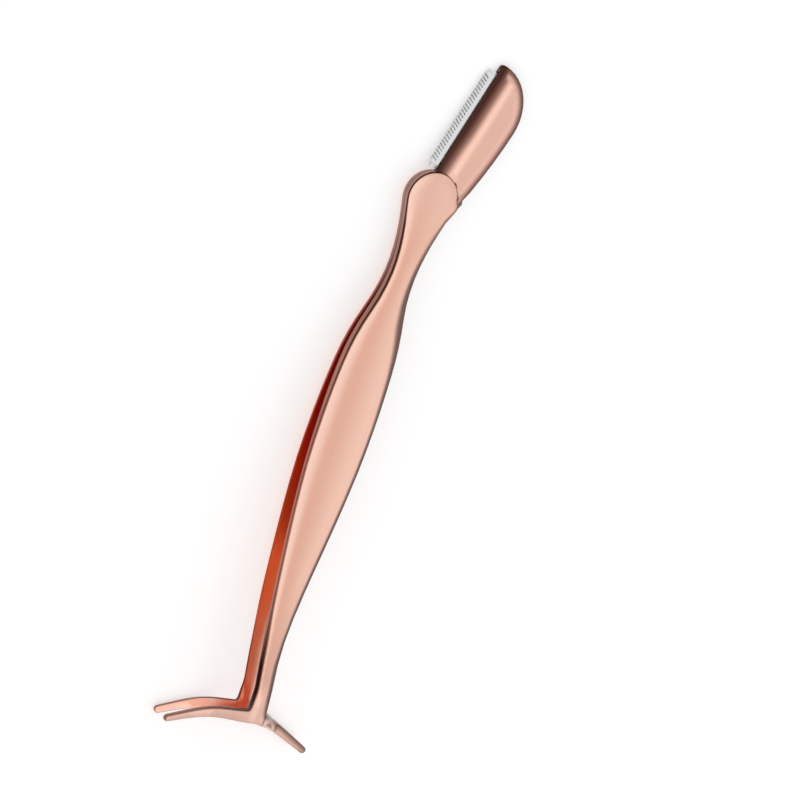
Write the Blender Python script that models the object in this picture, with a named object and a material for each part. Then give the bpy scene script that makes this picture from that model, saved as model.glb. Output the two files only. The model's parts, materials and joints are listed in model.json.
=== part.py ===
"""Lash applicator: spring tweezers with crescent jaws and a guarded brow razor on the back end.

Metres, +Z up. The tool lies on its rear arm's jaw tips and the razor cover's tip, jaws at -Y,
with the origin under the middle of its box. Each piece is first built in the tool's own frame,
in which the arms and the razor share the mid-plane z = 0 and the round end is centred on zero.
"""

import math

import bmesh
import bpy
from mathutils import Vector

# Fits
SEAT_GAP = 0.0003
CUT_OVERRUN = 0.001

# Arms, with distances from the centre of the round end towards the jaws
ARM_THICKNESS = 0.0011
ARM_EDGE_BEVEL = 0.00035
DISC_RADIUS = 0.0055
DISC_LEAVE_ANGLE = math.radians(15)
WAIST_WIDTH = 0.0057
WAIST_AT = 0.016
GRIP_WIDTH = 0.0123
GRIP_AT = 0.0465
NECK_WIDTH = 0.0039
NECK_AT = 0.1025
ARM_BOW = 0.00135
HINGE_AT = 0.0058
SPLAY_ANGLE = math.radians(1.44)
TURN_IN = 0.0007
TURN_IN_FROM = 0.085
# Each pair is a share of the way and a share of the change in half width
SWELL_SHARES = ((0.0, 0.0), (0.18, 0.15), (0.36, 0.54), (0.52, 0.8), (0.72, 0.94), (1.0, 1.0))
TAPER_SHARES = (
    (0.0, 0.0),
    (0.17, 0.05),
    (0.36, 0.26),
    (0.56, 0.565),
    (0.74, 0.83),
    (0.88, 0.965),
    (1.0, 1.0),
)
BOW_SHARES = (
    (0.0, 0.0),
    (0.1, 0.22),
    (0.26, 0.87),
    (0.45, 1.0),
    (0.62, 1.0),
    (0.78, 0.82),
    (0.87, 0.24),
    (0.92, -0.42),
    (0.96, -0.85),
    (1.0, -1.05),
)

# Crescent jaws
JAW_AT = 0.1099
JAW_HALF_SPAN = 0.0152
JAW_SAG = 0.0051
JAW_CURVE_SHARE = 0.19
JAW_ROOT_WIDTH = 0.003
JAW_TIP_WIDTH = 0.0015
JAW_FILLET = 0.0015
JAW_ARCH = 0.006
JAW_ARCH_REACH = 0.0047
JAW_FLAT_SHARE = 0.2
JAW_CUT_STEP = 0.0015
JAW_BLEND = 0.0045

# Razor cover, with sizes in its own frame: across from the round end's centre, along to the tip
RAZOR_LEAN = math.radians(14.4)
ROOT_THICKNESS = 0.0003
ROOT_BRIDGE_WIDTH = 0.0056
LEAF_THICKNESS = 0.00035
COVER_LENGTH = 0.0295
COVER_EDGE_ACROSS = -0.00242
COVER_SPINE_ACROSS = 0.00765
COVER_SPINE_TOP = 0.0193
COVER_FOOT_ACROSS = 0.0059
COVER_FOOT_ALONG = 0.0008
COVER_SPINE_SHARE = 0.6
COVER_TIP_ROUND = 0.0009
COVER_RIM_BEVEL = 0.00045
COVER_ROLL_WIDTH = 0.0014
COVER_ROLL_DROP = 0.0002
COVER_WALL = 0.0018

# Razor blade
BLADE_THICKNESS = 0.0002
BLADE_START = 0.0053
BLADE_NOTCH = 0.0016
BLADE_TONGUE_WIDTH = 0.0019
BLADE_SHOWN = 0.0018
BLADE_HIDDEN = 0.0051
BLADE_GRIND_WIDTH = 0.0007
BLADE_EDGE_THICKNESS = 0.00003
LUG_RADIUS = 0.0006
LUG_SHARES = (0.28, 0.76)

# Edge guard
GUARD_WALL = 0.00015
GUARD_END_MARGIN = 0.0007
SLIT_PITCH = 0.0007
SLIT_WIDTH = 0.00028
SLIT_SLANT = math.radians(21)
GUARD_RAIL = 0.0009

# Numbers of points along the curves
DISC_STEPS = 12
EASE_STEPS = 6
SWELL_STEPS = 11
TAPER_STEPS = 11
FILLET_STEPS = 5
HORN_STEPS = 8
TIP_STEPS = 6
BEND_STEPS = 4
ELLIPSE_STEPS = 12
SPINE_STEPS = 5
SHOULDER_STEPS = 10
ROUND_STEPS = 24
NOSE_STEPS = 6

# Derived sizes
INNER_FACE = ROOT_THICKNESS / 2 + SEAT_GAP
SLOT_HALF = BLADE_THICKNESS / 2 + SEAT_GAP
COVER_HALF = SLOT_HALF + LEAF_THICKNESS
SHOULDER_RADIUS = DISC_RADIUS + SEAT_GAP
ROOT_RADIUS = DISC_RADIUS - SEAT_GAP
BLADE_END = COVER_LENGTH - COVER_WALL - SEAT_GAP
EDGE_ACROSS = COVER_EDGE_ACROSS - BLADE_SHOWN
BACK_ACROSS = EDGE_ACROSS + BLADE_SHOWN + BLADE_HIDDEN


def follow(shares, way):
    """Smooth curve through pairs of shares, flat at both ends."""
    slopes = [0.0]
    for before, after in zip(shares[:-2], shares[2:]):
        slopes.append((after[1] - before[1]) / (after[0] - before[0]))
    slopes.append(0.0)
    for index in range(len(shares) - 1):
        (low, start), (high, end) = shares[index], shares[index + 1]
        if way <= high or index == len(shares) - 2:
            span = high - low
            part = (way - low) / span
            rise = part * part * (3 - 2 * part)
            leave = part * (1 - part) ** 2 * span * slopes[index]
            arrive = part * part * (part - 1) * span * slopes[index + 1]
            return start + (end - start) * rise + leave + arrive
    return shares[-1][1]


def steps(count, first=0):
    """Shares of the way, from the given step to the last."""
    return [index / count for index in range(first, count + 1)]


def bend_points(start, control, end, count):
    """Points of a quadratic curve, without its start."""
    points = []
    for way in steps(count, 1):
        a, b, c = (1 - way) ** 2, 2 * way * (1 - way), way**2
        points.append(tuple(a * p + b * q + c * r for p, q, r in zip(start, control, end)))
    return points


def horn_point(way, behind):
    """Point of the crescent at a share of the way to its tip, behind its front edge."""
    corner = JAW_CURVE_SHARE * JAW_HALF_SPAN
    x = 2 * way * (1 - way) * corner + way * way * JAW_HALF_SPAN
    run = 2 * (1 - 2 * way) * corner + 2 * way * JAW_HALF_SPAN
    rise = 2 * way * JAW_SAG
    length = math.hypot(run, rise)
    return x + behind * rise / length, JAW_AT + way * way * JAW_SAG - behind * run / length


def horn_width(way):
    """Width of the crescent at a share of the way to its tip."""
    return JAW_ROOT_WIDTH + (JAW_TIP_WIDTH - JAW_ROOT_WIDTH) * way


def arm_half_outline():
    """Right half of an arm as (half width, distance) pairs, from the disc's top to the jaw."""
    points = []
    for way in steps(DISC_STEPS):
        angle = math.pi / 2 - way * (math.pi / 2 + DISC_LEAVE_ANGLE)
        points.append((DISC_RADIUS * math.cos(angle), -DISC_RADIUS * math.sin(angle)))

    leave_x, leave_d = points[-1]
    length = WAIST_AT - leave_d
    drop = leave_x - WAIST_WIDTH / 2
    for way in steps(EASE_STEPS, 1):
        fall = way * way * (3 - 2 * way)
        slope = way * (1 - way) ** 2 * length * math.tan(DISC_LEAVE_ANGLE)
        points.append((leave_x - drop * fall - slope, leave_d + length * way))

    for way in steps(SWELL_STEPS, 1):
        half = (WAIST_WIDTH + (GRIP_WIDTH - WAIST_WIDTH) * follow(SWELL_SHARES, way)) / 2
        points.append((half, WAIST_AT + (GRIP_AT - WAIST_AT) * way))
    for way in steps(TAPER_STEPS, 1):
        half = (GRIP_WIDTH - (GRIP_WIDTH - NECK_WIDTH) * follow(TAPER_SHARES, way)) / 2
        points.append((half, GRIP_AT + (NECK_AT - GRIP_AT) * way))

    root_way = (NECK_WIDTH / 2 + JAW_FILLET) / JAW_HALF_SPAN
    root = horn_point(root_way, horn_width(root_way))
    corner = (NECK_WIDTH / 2, root[1])
    neck_end = (NECK_WIDTH / 2, corner[1] - JAW_FILLET)
    points.append(neck_end)
    points += bend_points(neck_end, corner, root, FILLET_STEPS)
    for part in steps(HORN_STEPS, 1):
        way = root_way + (1 - root_way) * part
        points.append(horn_point(way, horn_width(way)))
    centre = horn_point(1, JAW_TIP_WIDTH / 2)
    slope = math.atan2(2 * JAW_SAG, 2 * JAW_HALF_SPAN * (1 - JAW_CURVE_SHARE))
    for way in steps(TIP_STEPS, 1):
        turn = math.pi * (way - 0.5) + slope
        x = centre[0] + JAW_TIP_WIDTH / 2 * math.cos(turn)
        points.append((x, centre[1] + JAW_TIP_WIDTH / 2 * math.sin(turn)))
    for way in steps(HORN_STEPS, 1):
        points.append(horn_point(1 - way, 0))
    return points


def bow(distance):
    """Sideways offset of the arm's middle line."""
    return -ARM_BOW * follow(BOW_SHARES, min(max(distance / JAW_AT, 0.0), 1.0))


def lift(distance):
    """Rise of an arm's inner face over its height at the round end."""
    late = max(distance - TURN_IN_FROM, 0) / (JAW_AT - TURN_IN_FROM)
    return max(distance - HINGE_AT, 0) * math.tan(SPLAY_ANGLE) - TURN_IN * late * late


def arch(x, distance):
    """Drop of the horns, which starts under the neck and levels off towards their tips."""
    reach = max(abs(x - bow(JAW_AT)) - NECK_WIDTH * JAW_FLAT_SHARE, 0) / JAW_ARCH_REACH
    blend = min(max((distance - NECK_AT) / JAW_BLEND, 0.0), 1.0)
    return JAW_ARCH * (1 - math.exp(-reach * reach)) * blend * blend * (3 - 2 * blend)


def arm_outline():
    """Whole outline of an arm as (x, y) pairs in the tool's frame."""
    right = arm_half_outline()
    left = [(-x, d) for x, d in reversed(right[1:-1])]
    return [(x + bow(d), -d) for x, d in right + left]


def prism(outline, low, high):
    """Bmesh of an outline extruded from one height to another, facing out."""
    mesh = bmesh.new()
    floor = mesh.faces.new([mesh.verts.new((x, y, low)) for x, y in outline])
    made = bmesh.ops.extrude_face_region(mesh, geom=[floor])
    top = [item for item in made["geom"] if isinstance(item, bmesh.types.BMVert)]
    bmesh.ops.translate(mesh, verts=top, vec=(0, 0, high - low))
    bmesh.ops.recalc_face_normals(mesh, faces=mesh.faces)
    return mesh


def round_edges(mesh, edges, width, segments):
    """Bevel of the given edges."""
    bmesh.ops.bevel(
        mesh,
        geom=edges,
        offset=width,
        offset_type="OFFSET",
        segments=segments,
        profile=0.5,
        affect="EDGES",
        clamp_overlap=True,
        material=-1,
    )


def rim(mesh, height):
    """Edges that lie at a height, between a flat face and a wall."""
    return [e for e in mesh.edges if all(abs(v.co.z - height) < SEAT_GAP / 100 for v in e.verts)]


def cut_across(mesh, point, normal, faces=None):
    """Cut through a mesh, or some of its faces, that leaves it closed."""
    chosen = list(mesh.faces) if faces is None else faces
    edges = {e for f in chosen for e in f.edges}
    verts = {v for f in chosen for v in f.verts}
    geom = list(verts) + list(edges) + chosen
    bmesh.ops.bisect_plane(mesh, geom=geom, dist=SEAT_GAP / 1000, plane_co=point, plane_no=normal)


def finish(mesh, name, material, location, parent):
    """Object from a bmesh that was built in its parent's frame, with its origin at a location."""
    bmesh.ops.translate(mesh, verts=mesh.verts, vec=-Vector(location))
    bmesh.ops.remove_doubles(mesh, verts=mesh.verts, dist=SEAT_GAP / 300)
    bmesh.ops.triangulate(mesh, faces=mesh.faces)
    data = bpy.data.meshes.new(name)
    mesh.to_mesh(data)
    mesh.free()
    data.shade_smooth()
    data.set_sharp_from_angle(angle=math.radians(30))
    if material is not None:
        data.materials.append(material)
    piece = bpy.data.objects.new(name, data)
    bpy.context.collection.objects.link(piece)
    piece.parent = parent
    piece.location = location
    return piece


def empty(name, parent=None):
    """Empty that carries pieces."""
    holder = bpy.data.objects.new(name, None)
    bpy.context.collection.objects.link(holder)
    holder.parent = parent
    return holder


def metal(name, colour, roughness):
    """Metal of the given linear colour."""
    material = bpy.data.materials.new(name)
    material.use_nodes = True
    shader = material.node_tree.nodes["Principled BSDF"]
    shader.inputs["Base Color"].default_value = (*colour, 1)
    shader.inputs["Metallic"].default_value = 1.0
    shader.inputs["Roughness"].default_value = roughness
    return material


def combine(piece, other, operation):
    """Boolean with another object, which is hidden and left out."""
    other.hide_render = True
    other.display_type = "WIRE"
    modifier = piece.modifiers.new(other.name, "BOOLEAN")
    modifier.operation = operation
    modifier.solver = "EXACT"
    modifier.object = other


def arm(name, side, material, parent):
    """One arm. Side is 1 for the front arm, above the mid-plane, and -1 for the rear arm."""
    mesh = prism(arm_outline(), 0, ARM_THICKNESS)
    round_edges(mesh, rim(mesh, ARM_THICKNESS), ARM_EDGE_BEVEL, 2)
    cut_across(mesh, (0, -HINGE_AT, 0), (0, 1, 0))
    for way in steps(BEND_STEPS):
        cut_across(mesh, (0, -TURN_IN_FROM - (NECK_AT - TURN_IN_FROM) * way, 0), (0, 1, 0))
        cut_across(mesh, (0, -NECK_AT - JAW_BLEND * way, 0), (0, 1, 0))
    count = int((JAW_HALF_SPAN + JAW_TIP_WIDTH) / JAW_CUT_STEP)
    for index in range(-count, count + 1):
        jaw = [f for f in mesh.faces if all(v.co.y < -NECK_AT + SEAT_GAP / 100 for v in f.verts)]
        cut_across(mesh, (index * JAW_CUT_STEP, 0, 0), (1, 0, 0), jaw)
    for vert in mesh.verts:
        x, y, z = vert.co
        vert.co.z = side * (INNER_FACE + lift(-y) + z) - arch(x, -y)
    if side < 0:
        bmesh.ops.reverse_faces(mesh, faces=mesh.faces)
    hinge = (0, -HINGE_AT, side * (INNER_FACE + ARM_THICKNESS / 2))
    return finish(mesh, name, material, hinge, parent)


def cover_outline():
    """Outline of the cover's body as (across, along) pairs, from the foot of its spine round."""
    points = [(COVER_FOOT_ACROSS, COVER_FOOT_ALONG)]
    bend = (COVER_SPINE_ACROSS, COVER_SPINE_TOP * COVER_SPINE_SHARE)
    top = (COVER_SPINE_ACROSS, COVER_SPINE_TOP)
    points += bend_points(points[0], bend, top, SPINE_STEPS)
    centre = COVER_EDGE_ACROSS + COVER_TIP_ROUND
    reach = COVER_SPINE_ACROSS - centre
    rise = COVER_LENGTH - COVER_SPINE_TOP
    for way in steps(ELLIPSE_STEPS, 1):
        angle = way * math.pi / 2
        x = centre + reach * math.cos(angle)
        points.append((x, COVER_SPINE_TOP + rise * math.sin(angle)))
    edge_top = (COVER_EDGE_ACROSS, COVER_LENGTH - COVER_TIP_ROUND)
    corner = (COVER_EDGE_ACROSS, COVER_LENGTH)
    points += bend_points(points[-1], corner, edge_top, FILLET_STEPS)
    high = math.acos(COVER_EDGE_ACROSS / SHOULDER_RADIUS)
    low = math.asin(COVER_FOOT_ALONG / SHOULDER_RADIUS)
    for way in steps(SHOULDER_STEPS):
        angle = high + (low - high) * way
        points.append((SHOULDER_RADIUS * math.cos(angle), SHOULDER_RADIUS * math.sin(angle)))
    return points


def cover(material, parent):
    """Folded razor cover with its blade slot, its flattened root and two lugs for the blade."""
    mesh = prism(cover_outline(), -COVER_HALF, COVER_HALF)
    past_edge = COVER_EDGE_ACROSS + COVER_TIP_ROUND
    for height in (-COVER_HALF, COVER_HALF):
        outer = []
        for edge in rim(mesh, height):
            middle = (edge.verts[0].co + edge.verts[1].co) / 2
            if middle.x > past_edge and middle.xy.length > SHOULDER_RADIUS + SEAT_GAP:
                outer.append(edge)
        round_edges(mesh, outer, COVER_RIM_BEVEL, 3)
    roll_start = COVER_EDGE_ACROSS + COVER_ROLL_WIDTH
    for way in steps(3, 1):
        cut_across(mesh, (COVER_EDGE_ACROSS + COVER_ROLL_WIDTH * way, 0, 0), (1, 0, 0))
    for vert in mesh.verts:
        share = max(roll_start - vert.co.x, 0) / COVER_ROLL_WIDTH
        drop = COVER_ROLL_DROP * share * share
        vert.co.z -= math.copysign(drop, vert.co.z) if abs(vert.co.z) > SLOT_HALF else 0
    body = finish(mesh, "blade_cover", material, (0, 0, 0), parent)

    slot_low = BLADE_START + BLADE_NOTCH - SEAT_GAP
    tongue_right = EDGE_ACROSS + BLADE_TONGUE_WIDTH + SEAT_GAP
    left = EDGE_ACROSS - CUT_OVERRUN
    slot = [
        (left, BLADE_START - CUT_OVERRUN),
        (tongue_right, BLADE_START - CUT_OVERRUN),
        (tongue_right, slot_low),
        (BACK_ACROSS + SEAT_GAP, slot_low),
        (BACK_ACROSS + SEAT_GAP, BLADE_END + SEAT_GAP),
        (left, BLADE_END + SEAT_GAP),
    ]
    cutter = finish(prism(slot, -SLOT_HALF, SLOT_HALF), "slot_cutter", None, (0, 0, 0), parent)
    combine(body, cutter, "DIFFERENCE")

    root = bmesh.new()
    made = bmesh.ops.create_cone(
        root,
        cap_ends=True,
        segments=2 * ROUND_STEPS,
        radius1=ROOT_RADIUS,
        radius2=ROOT_RADIUS,
        depth=ROOT_THICKNESS,
    )
    plate = finish(root, "root_plate", None, (0, 0, 0), parent)
    bridge_left = tongue_right + SEAT_GAP
    bridge_top = (SHOULDER_RADIUS + slot_low) / 2
    bridge = [
        (bridge_left, 0),
        (bridge_left + ROOT_BRIDGE_WIDTH, 0),
        (bridge_left + ROOT_BRIDGE_WIDTH, bridge_top),
        (bridge_left, bridge_top),
    ]
    half = ROOT_THICKNESS / 2
    tie = finish(prism(bridge, -half, half), "root_bridge", None, (0, 0, 0), parent)
    combine(plate, tie, "UNION")
    combine(body, plate, "UNION")
    for index, place in enumerate(lug_places()):
        lug = bmesh.new()
        low = -SLOT_HALF - LEAF_THICKNESS / 2
        high = BLADE_THICKNESS / 2
        bmesh.ops.create_cone(
            lug,
            cap_ends=True,
            segments=ROUND_STEPS,
            radius1=LUG_RADIUS,
            radius2=LUG_RADIUS,
            depth=high - low,
        )
        bmesh.ops.translate(lug, verts=lug.verts, vec=(*place, (high + low) / 2))
        combine(body, finish(lug, f"lug_{index}", None, (0, 0, 0), parent), "UNION")
    return body


def lug_places():
    """Middles of the blade's two holes, and of the lugs that stand in them."""
    x = (COVER_EDGE_ACROSS + BACK_ACROSS) / 2
    return [(x, BLADE_START + (BLADE_END - BLADE_START) * share) for share in LUG_SHARES]


def blade(material, parent):
    """Thin steel blade with a ground edge, a notch past the round end and two holes."""
    outline = [
        (EDGE_ACROSS, BLADE_START),
        (EDGE_ACROSS + BLADE_TONGUE_WIDTH, BLADE_START),
        (EDGE_ACROSS + BLADE_TONGUE_WIDTH, BLADE_START + BLADE_NOTCH),
        (BACK_ACROSS, BLADE_START + BLADE_NOTCH),
        (BACK_ACROSS, BLADE_END),
        (EDGE_ACROSS, BLADE_END),
    ]
    mesh = prism(outline, -BLADE_THICKNESS / 2, BLADE_THICKNESS / 2)
    cut_across(mesh, (EDGE_ACROSS + BLADE_GRIND_WIDTH, 0, 0), (1, 0, 0))
    for vert in mesh.verts:
        if vert.co.x < EDGE_ACROSS + BLADE_GRIND_WIDTH / 2:
            vert.co.z = math.copysign(BLADE_EDGE_THICKNESS / 2, vert.co.z)
    strip = finish(mesh, "razor_blade", material, (0, 0, 0), parent)
    for index, place in enumerate(lug_places()):
        hole = bmesh.new()
        bmesh.ops.create_cone(
            hole,
            cap_ends=True,
            segments=ROUND_STEPS,
            radius1=LUG_RADIUS + SEAT_GAP,
            radius2=LUG_RADIUS + SEAT_GAP,
            depth=BLADE_THICKNESS + CUT_OVERRUN,
        )
        bmesh.ops.translate(hole, verts=hole.verts, vec=(*place, 0))
        combine(strip, finish(hole, f"hole_cutter_{index}", None, (0, 0, 0), parent), "DIFFERENCE")
    return strip


def guard(material, parent):
    """Thin strip folded over the cutting edge, with a row of slanted slits."""
    leg_end = COVER_EDGE_ACROSS - SEAT_GAP
    inner_half = BLADE_THICKNESS / 2 + SEAT_GAP
    outer_half = inner_half + GUARD_WALL
    inner_nose = EDGE_ACROSS - SEAT_GAP
    profile = []
    for half, nose, order in ((outer_half, inner_nose - GUARD_WALL, 1), (inner_half, inner_nose, -1)):
        line = [(leg_end, half)]
        for way in steps(NOSE_STEPS):
            angle = math.pi / 2 + math.pi * way
            x = EDGE_ACROSS + (EDGE_ACROSS - nose) * math.cos(angle)
            line.append((x, half * math.sin(angle)))
        line.append((leg_end, -half))
        profile += line[::order]
    start = BLADE_START + GUARD_END_MARGIN
    end = BLADE_END - GUARD_END_MARGIN
    mesh = prism([(x, z) for x, z in profile], start, end)
    for vert in mesh.verts:
        vert.co = (vert.co.x, vert.co.z, vert.co.y)
    bmesh.ops.recalc_face_normals(mesh, faces=mesh.faces)
    strip = finish(mesh, "edge_guard", material, (0, 0, 0), parent)

    slit_right = leg_end - GUARD_RAIL
    slit_left = inner_nose - GUARD_WALL - CUT_OVERRUN
    count = int((end - start - SLIT_PITCH) / SLIT_PITCH)
    first = (start + end - (count - 1) * SLIT_PITCH) / 2
    lean = math.tan(SLIT_SLANT)
    width = SLIT_WIDTH / math.cos(SLIT_SLANT)
    cutters = bmesh.new()
    for index in range(count):
        foot = first + index * SLIT_PITCH
        top = foot + (EDGE_ACROSS - slit_left) * lean
        bottom = foot - (slit_right - EDGE_ACROSS) * lean
        corners = [
            (slit_left, top - width / 2),
            (slit_right, bottom - width / 2),
            (slit_right, bottom + width / 2),
            (slit_left, top + width / 2),
        ]
        slit = prism(corners, -outer_half - CUT_OVERRUN, outer_half + CUT_OVERRUN)
        data = bpy.data.meshes.new("slit")
        slit.to_mesh(data)
        slit.free()
        cutters.from_mesh(data)
        bpy.data.meshes.remove(data)
    combine(strip, finish(cutters, "slit_cutters", None, (0, 0, 0), parent), "DIFFERENCE")
    return strip


def lay_down(tool, pieces):
    """Turn and shift the tool until it lies on the ground, centred over the origin."""

    def points():
        bpy.context.view_layer.update()
        graph = bpy.context.evaluated_depsgraph_get()
        found = []
        for piece in pieces:
            shown = piece.evaluated_get(graph)
            data = shown.to_mesh()
            found += [shown.matrix_world @ vert.co for vert in data.vertices]
            shown.to_mesh_clear()
        return found

    for _ in range(4):
        found = points()
        jaw = min((p for p in found if p.y < -NECK_AT / 2), key=lambda p: p.z)
        head = min((p for p in found if p.y > 0), key=lambda p: p.z)
        tool.rotation_euler.x -= math.atan2(head.z - jaw.z, head.y - jaw.y)
    found = points()
    for axis in (0, 1):
        values = [p[axis] for p in found]
        tool.location[axis] -= (min(values) + max(values)) / 2
    tool.location.z -= min(p.z for p in found)
    bpy.context.view_layer.update()


def main():
    for thing in list(bpy.data.objects):
        bpy.data.objects.remove(thing)
    rose_gold_front = metal("rose_gold_front_arm", (0.84, 0.49, 0.38), 0.28)
    rose_gold_rear = metal("rose_gold_rear_arm", (0.8, 0.42, 0.31), 0.28)
    rose_gold_cover = metal("rose_gold_cover", (0.82, 0.47, 0.36), 0.28)
    blade_steel = metal("blade_steel", (0.75, 0.76, 0.78), 0.2)
    guard_steel = metal("guard_steel", (0.86, 0.87, 0.88), 0.3)

    tool = empty("tool")
    razor = empty("razor", tool)
    razor.rotation_euler.z = -RAZOR_LEAN
    pieces = [
        arm("front_arm", 1, rose_gold_front, tool),
        arm("rear_arm", -1, rose_gold_rear, tool),
        cover(rose_gold_cover, razor),
        blade(blade_steel, razor),
        guard(guard_steel, razor),
    ]
    lay_down(tool, pieces)


main()
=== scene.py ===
# %% [markdown]
# # A lash applicator: spring tweezers with a small razor on the back end
# The tool is two long stamped arms, joined at a round end, with crescent jaws that hold a strip of
# lashes. A folded cover behind the round end carries a thin guarded blade. The CAD solids give
# every size and place. Here they get what a plain solid lacks: rounded and crowned plating, seams
# that close, polished edges and the light of a small studio.

import json
import math

import bmesh
import bpy
from mathutils import Matrix, Vector
from mathutils.bvhtree import BVHTree
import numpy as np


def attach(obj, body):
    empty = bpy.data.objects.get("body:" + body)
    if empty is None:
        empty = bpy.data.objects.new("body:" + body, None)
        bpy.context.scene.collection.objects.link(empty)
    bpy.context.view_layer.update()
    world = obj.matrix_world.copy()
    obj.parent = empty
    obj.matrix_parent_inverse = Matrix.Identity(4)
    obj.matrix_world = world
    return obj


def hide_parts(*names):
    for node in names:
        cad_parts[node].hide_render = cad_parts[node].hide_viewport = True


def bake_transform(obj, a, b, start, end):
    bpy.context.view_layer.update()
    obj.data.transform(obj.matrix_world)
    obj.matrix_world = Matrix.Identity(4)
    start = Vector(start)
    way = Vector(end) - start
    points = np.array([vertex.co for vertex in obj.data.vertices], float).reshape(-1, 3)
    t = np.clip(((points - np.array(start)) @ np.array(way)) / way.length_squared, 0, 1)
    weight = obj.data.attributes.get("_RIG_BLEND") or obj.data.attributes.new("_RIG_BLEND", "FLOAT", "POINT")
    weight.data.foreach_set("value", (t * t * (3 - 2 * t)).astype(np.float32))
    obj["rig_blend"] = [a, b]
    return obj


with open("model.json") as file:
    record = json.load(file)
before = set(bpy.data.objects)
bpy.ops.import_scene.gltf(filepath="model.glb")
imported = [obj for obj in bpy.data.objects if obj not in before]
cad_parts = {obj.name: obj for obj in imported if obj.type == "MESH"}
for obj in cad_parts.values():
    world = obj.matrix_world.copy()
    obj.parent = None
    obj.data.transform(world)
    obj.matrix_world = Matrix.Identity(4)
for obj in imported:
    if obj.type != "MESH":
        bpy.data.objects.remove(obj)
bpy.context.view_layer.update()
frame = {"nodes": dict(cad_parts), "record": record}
MM = 0.001
print("CAD nodes:", ", ".join(sorted(frame["nodes"])))

# %% [markdown]
# ## The tool's own frame
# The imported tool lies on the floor, a little tilted, on its jaw tips and on its razor. Modelling is
# easier in the frame in which both arms share one flat mid-plane, so each mesh is taken there,
# worked on, and laid back down at the end. The two flat faces of the round end say where that frame
# is: their middle is its centre and their normal is its Z axis. The razor has a frame of its own,
# turned by its lean, in which X runs across the blade and Y along it.

# %% The frames of the tool and of the razor
RAZOR_LEAN = math.radians(14.4)

faces = {mount["name"]: mount for mount in frame["record"]["mounts"]}
front_face = Vector(faces["front_round_end"]["pos_m"])
rear_face = Vector(faces["rear_round_end"]["pos_m"])
upward = Vector(faces["front_round_end"]["axis"]).normalized()
across = Vector((1, 0, 0))
along = upward.cross(across)
tool_frame = Matrix((across, along, upward)).transposed().to_4x4()
tool_frame.translation = (front_face + rear_face) / 2
razor_frame = tool_frame @ Matrix.Rotation(-RAZOR_LEAN, 4, "Z")
print("tool centre", [round(c, 5) for c in tool_frame.translation])

# %% [markdown]
# ## Taking a CAD node's mesh
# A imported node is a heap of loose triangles, so smooth shading can't cross from one to the next. A
# copy is merged first, in the frame that it is worked on in. Putting the finished mesh back into
# the row's frame leaves the object at the origin, unturned and unscaled, as a CAD node's is.

# %% Helpers that take a copy and put a piece in place
MERGE_DISTANCE = 0.002 * MM
SHARP_ANGLE = math.radians(38)


def merged_copy(node, home, numbers=(), colours=()):
    mesh = bmesh.new()
    mesh.from_mesh(frame["nodes"][node].data)
    mesh.faces.layers.int.new("grid")
    for name in numbers:
        mesh.verts.layers.float.new(name)
    for name in colours:
        mesh.verts.layers.float_color.new(name)
    bmesh.ops.remove_doubles(mesh, verts=mesh.verts, dist=MERGE_DISTANCE)
    bmesh.ops.transform(mesh, matrix=home.inverted(), verts=mesh.verts)
    return mesh


def put_in_place(mesh, name, home, material, sharp=SHARP_ANGLE):
    bmesh.ops.transform(mesh, matrix=home, verts=mesh.verts)
    data = bpy.data.meshes.new(name)
    mesh.to_mesh(data)
    mesh.free()
    data.shade_smooth()
    data.set_sharp_from_angle(angle=sharp)
    data.materials.append(material)
    piece = bpy.data.objects.new(name, data)
    bpy.context.scene.collection.objects.link(piece)
    print(name, len(data.polygons), "faces")
    return piece


def cut_sheet(mesh, point, normal, faces_to_cut):
    edges = {edge for face in faces_to_cut for edge in face.edges}
    verts = {vert for face in faces_to_cut for vert in face.verts}
    geom = list(verts) + list(edges) + list(faces_to_cut)
    bmesh.ops.bisect_plane(mesh, geom=geom, dist=MERGE_DISTANCE, plane_co=point, plane_no=normal)


# %% [markdown]
# ## Node trees written as sums
# A shader is easier to read as arithmetic than as a list of nodes and links. This class wraps one
# output socket. Plus, minus and times on it add Math nodes, with a number on either side, and every
# other node comes from its one method, which sets the node's options first and then its sockets.

# %% A socket that does sums
class Wire:
    def __init__(self, tree, socket=None):
        self.tree = tree
        self.socket = socket

    def node(self, kind, settings=None, sockets=None, out=0):
        made = self.tree.nodes.new(kind)
        for name, value in (settings or {}).items():
            setattr(made, name, value)
        for name, value in (sockets or {}).items():
            if isinstance(value, Wire):
                self.tree.links.new(value.socket, made.inputs[name])
            else:
                made.inputs[name].default_value = value
        return Wire(self.tree, made.outputs[out])

    def math(self, operation, first, second):
        return self.node("ShaderNodeMath", {"operation": operation}, {0: first, 1: second})

    def __add__(self, other):
        return self.math("ADD", self, other)

    __radd__ = __add__

    def __sub__(self, other):
        return self.math("SUBTRACT", self, other)

    def __rsub__(self, other):
        return self.math("SUBTRACT", other, self)

    def __mul__(self, other):
        return self.math("MULTIPLY", self, other)

    __rmul__ = __mul__


# %% [markdown]
# ## Rose gold plating
# The tool is steel with a polished, copper-coloured plating. A metal has no colour but its
# reflection, so what makes it look real is a roughness that is uneven in a small way and a very
# fine grain. One finish serves every plated piece, so it is a function. It takes the colour of the
# metal and its roughness as wires, and adds a faint cloudiness, the uneven roughness and the grain.

# %% The plating
CLOUD_SCALE = 260.0
CLOUD_SHARE = 0.12
CLOUD_ROUGHNESS = 0.05
CLOUD_TINT = (0.8, 0.64, 0.57, 1.0)
GRAIN_SCALE = 9000.0
GRAIN_STRENGTH = 0.02
GRAIN_HEIGHT = 0.02 * MM


def new_material(name):
    material = bpy.data.materials.new(name)
    material.use_nodes = True
    shader = material.node_tree.nodes["Principled BSDF"]
    shader.inputs["Metallic"].default_value = 1.0
    return material, shader, Wire(material.node_tree)


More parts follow.
